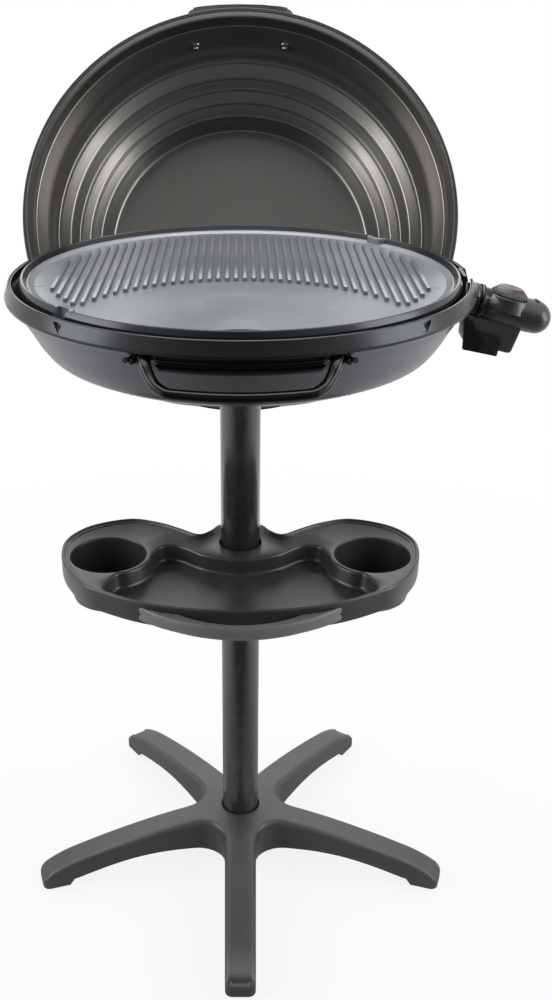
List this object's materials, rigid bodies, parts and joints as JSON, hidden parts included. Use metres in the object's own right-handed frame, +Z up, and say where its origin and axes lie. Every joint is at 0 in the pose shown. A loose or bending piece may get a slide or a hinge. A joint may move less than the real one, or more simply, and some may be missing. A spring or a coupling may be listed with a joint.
{
  "type": "electric grill with lid on a stand",
  "caption": "Floor-standing round electric grill: star base, column, shelf with cup wells, bowl with ribbed plate and plug-in heat control, and a domed lid on side hinges.",
  "frame": {"origin": "on the column's axis at floor level", "axes": "+Z up, -Y towards the user at the front handle, +X towards the heat control"},
  "size_m": [0.6659, 0.7479, 1.1363],
  "materials": {
    "base_plastic": "fine-textured dark bluish-grey moulded plastic",
    "rubber": "black rubber",
    "plain_steel": "plain zinc-plated steel",
    "tube_paint": "semi-gloss dark grey powder coat",
    "shelf_plastic": "fine-textured dark bluish-grey moulded plastic",
    "rail_plastic": "satin dark grey plastic",
    "bowl_paint": "satin gunmetal paint",
    "tray_aluminium": "pressed aluminium",
    "gloss_black": "glossy black plastic",
    "hinge_black": "black heat-proof plastic",
    "plate_coating": "blue-grey non-stick coating on cast aluminium",
    "element_steel": "tubular element sheath",
    "lid_metal": "warm metallic grey paint on pressed aluminium",
    "chrome": "chrome",
    "control_plastic": "satin dark grey plastic",
    "cover_black": "smooth black plastic",
    "dial_plastic": "black plastic",
    "switch_plastic": "heat-proof pale plastic",
    "contact_brass": "brass",
    "lens_amber": "clear amber lens",
    "lamp_glass": "small glow lamp"
  },
  "bodies": {
    "stand": {"base_star": "base_plastic", "foot_pads": "rubber", "base_bolt": "plain_steel", "base_washer": "plain_steel", "tube_plug": "plain_steel", "lower_tube": "tube_paint", "tube_coupler": "plain_steel", "upper_tube": "tube_paint", "shelf_tray": "shelf_plastic", "shelf_rail": "rail_plastic", "rail_pins": "plain_steel", "shelf_collar": "base_plastic", "collar_screws": "plain_steel", "collar_clamp_bolt": "plain_steel", "bowl_socket": "base_plastic", "socket_screws": "plain_steel", "bowl_shell": "bowl_paint", "drip_tray": "tray_aluminium", "front_handle": "gloss_black", "handle_screws": "plain_steel", "hinge_bracket_left": "hinge_black", "hinge_bracket_right": "hinge_black", "bracket_rivets": "plain_steel", "hinge_pins": "plain_steel"},
    "plate": {"grill_plate": "plate_coating", "heating_element": "element_steel", "element_clips": "plain_steel", "terminal_block": "hinge_black", "terminal_prongs": "plain_steel", "probe_tube": "plain_steel"},
    "lid": {"lid_shell": "lid_metal", "lid_ear_left": "lid_metal", "lid_ear_right": "lid_metal", "ear_rivets": "plain_steel", "lid_handle": "gloss_black", "lid_handle_screws": "chrome"},
    "control": {"control_housing_top": "control_plastic", "control_housing_bottom": "control_plastic", "control_box": "control_plastic", "box_cover": "cover_black", "thermostat_switch": "switch_plastic", "contact_sleeves": "contact_brass", "probe_rod": "plain_steel", "indicator_lens": "lens_amber", "indicator_lamp": "lamp_glass", "cord_gland": "rubber"},
    "dial": {"dial": "dial_plastic", "dial_shaft": "plain_steel"}
  },
  "joints": [
    {"name": "lid_hinge", "type": "hinge", "parent": "stand", "child": "lid", "pos_m": [0, 0.1212, 0.8079], "axis": [1, 0, 0], "range_deg": [0, 123.15]},
    {"name": "plate_lift", "type": "slide", "parent": "stand", "child": "plate", "axis": [0, 0, 1], "range_m": [0, 0.3]},
    {"name": "control_pull", "type": "slide", "parent": "plate", "child": "control", "axis": [0.9703, 0, -0.2419], "range_m": [0, 0.07]},
    {"name": "dial_turn", "type": "hinge", "parent": "control", "child": "dial", "pos_m": [0.31749, 0, 0.81186], "axis": [0.2419, 0, 0.9703], "range_deg": [0, 270]}
  ]
}
